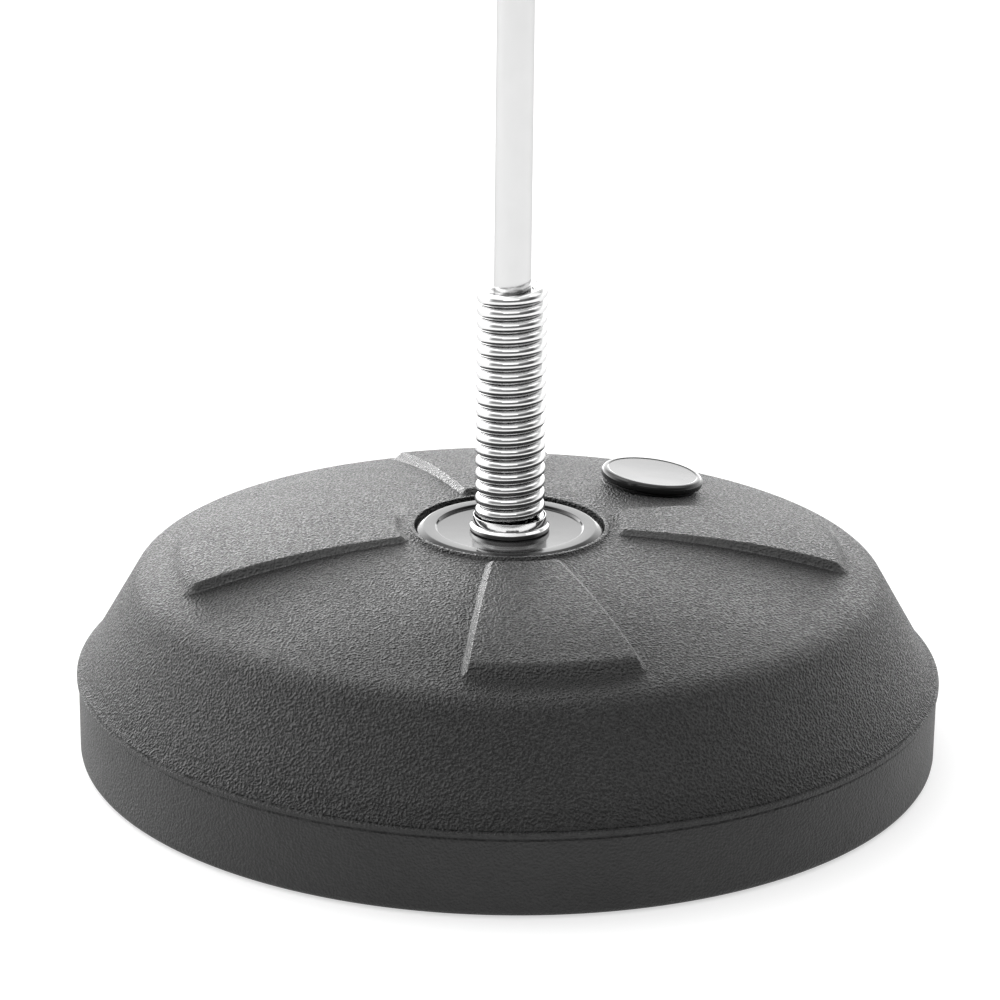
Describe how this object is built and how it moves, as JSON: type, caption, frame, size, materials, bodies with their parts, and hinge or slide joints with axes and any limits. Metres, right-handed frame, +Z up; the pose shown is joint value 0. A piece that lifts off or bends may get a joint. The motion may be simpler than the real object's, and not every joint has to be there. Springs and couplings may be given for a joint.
{
  "type": "speed ball stand base",
  "caption": "Freestanding speed ball stand: round fillable base with ribs and a filler cap, a chrome bending spring and a telescoping mast.",
  "frame": {"origin": "on the mast's axis, at floor level under the anti-slip pads", "axes": "+Z up along the mast; -Y is the front, +X the side of the height clamp's knob"},
  "size_m": [0.45, 0.45, 0.941],
  "materials": {
    "tank_plastic": "fine leather grain, satin",
    "gloss_plastic": "polished moulding",
    "black_plastic": "fine spark-eroded matt",
    "rubber": "matt",
    "spring_chrome": "bright plating",
    "mast_chrome": "satin plating",
    "zinc": "zinc plated",
    "steel": "turned",
    "brass": "turned"
  },
  "bodies": {
    "base": {"base_tank": "tank_plastic", "foot_pad_1": "rubber", "foot_pad_2": "rubber", "foot_pad_3": "rubber", "foot_pad_4": "rubber", "foot_pad_5": "rubber", "foot_pad_6": "rubber", "centre_cap": "gloss_plastic", "anchor_plate": "zinc", "anchor_lock_washer": "zinc", "anchor_bolt": "zinc", "spring_lower_plug": "spring_chrome"},
    "filler_seal": {"filler_seal": "rubber"},
    "filler_cap": {"filler_cap": "gloss_plastic"},
    "spring": {"spring": "spring_chrome"},
    "mast": {"spring_upper_plug": "steel", "mast_cross_pin": "steel", "lower_mast": "mast_chrome", "height_collar": "black_plastic", "thread_insert": "brass", "collar_set_screw": "steel"},
    "clamp_shoe": {"clamp_shoe": "brass"},
    "clamp_knob": {"clamp_screw": "zinc", "clamp_knob": "black_plastic"},
    "upper_mast": {"upper_mast": "mast_chrome", "mast_end_plug": "black_plastic", "ball_seat": "black_plastic", "ball_stud": "zinc", "ball_washer": "zinc", "ball_lock_nut": "zinc"}
  },
  "joints": [
    {"name": "filler_cap_lift", "type": "slide", "parent": "base", "child": "filler_seal", "axis": [0.1134, 0.0272, 0.9932], "range_m": [0, 0.0125]},
    {"name": "filler_cap_turn", "type": "hinge", "parent": "filler_seal", "child": "filler_cap", "pos_m": [0.07689, 0.08845, 0.11342], "axis": [0.1134, 0.0272, 0.9932], "range_deg": [0, 900]},
    {"name": "spring_bend_x", "type": "hinge", "parent": "base", "child": "spring", "pos_m": [0, 0, 0.1545], "axis": [1, 0, 0], "range_deg": [-20, 20], "stiffness_Nm_per_rad": 12, "deforming": ["spring"]},
    {"name": "spring_bend_y", "type": "hinge", "parent": "spring", "child": "mast", "pos_m": [0, 0, 0.1995], "axis": [0, 1, 0], "range_deg": [-20, 20], "stiffness_Nm_per_rad": 12, "deforming": ["spring"]},
    {"name": "mast_extension", "type": "slide", "parent": "mast", "child": "upper_mast", "axis": [0, 0, 1], "range_m": [0, 0.3]},
    {"name": "clamp_travel", "type": "slide", "parent": "mast", "child": "clamp_shoe", "axis": [1, 0, 0], "range_m": [0, 0.00187]},
    {"name": "clamp_knob_turn", "type": "hinge", "parent": "clamp_shoe", "child": "clamp_knob", "pos_m": [0.025, 0, 0.699], "axis": [1, 0, 0], "range_deg": [0, 540]}
  ],
  "couplings": [
    {"joint": "filler_cap_turn", "follows": "filler_cap_lift", "rad_per_m": 1256.6},
    {"joint": "clamp_knob_turn", "follows": "clamp_travel", "rad_per_m": 5026.5}
  ]
}
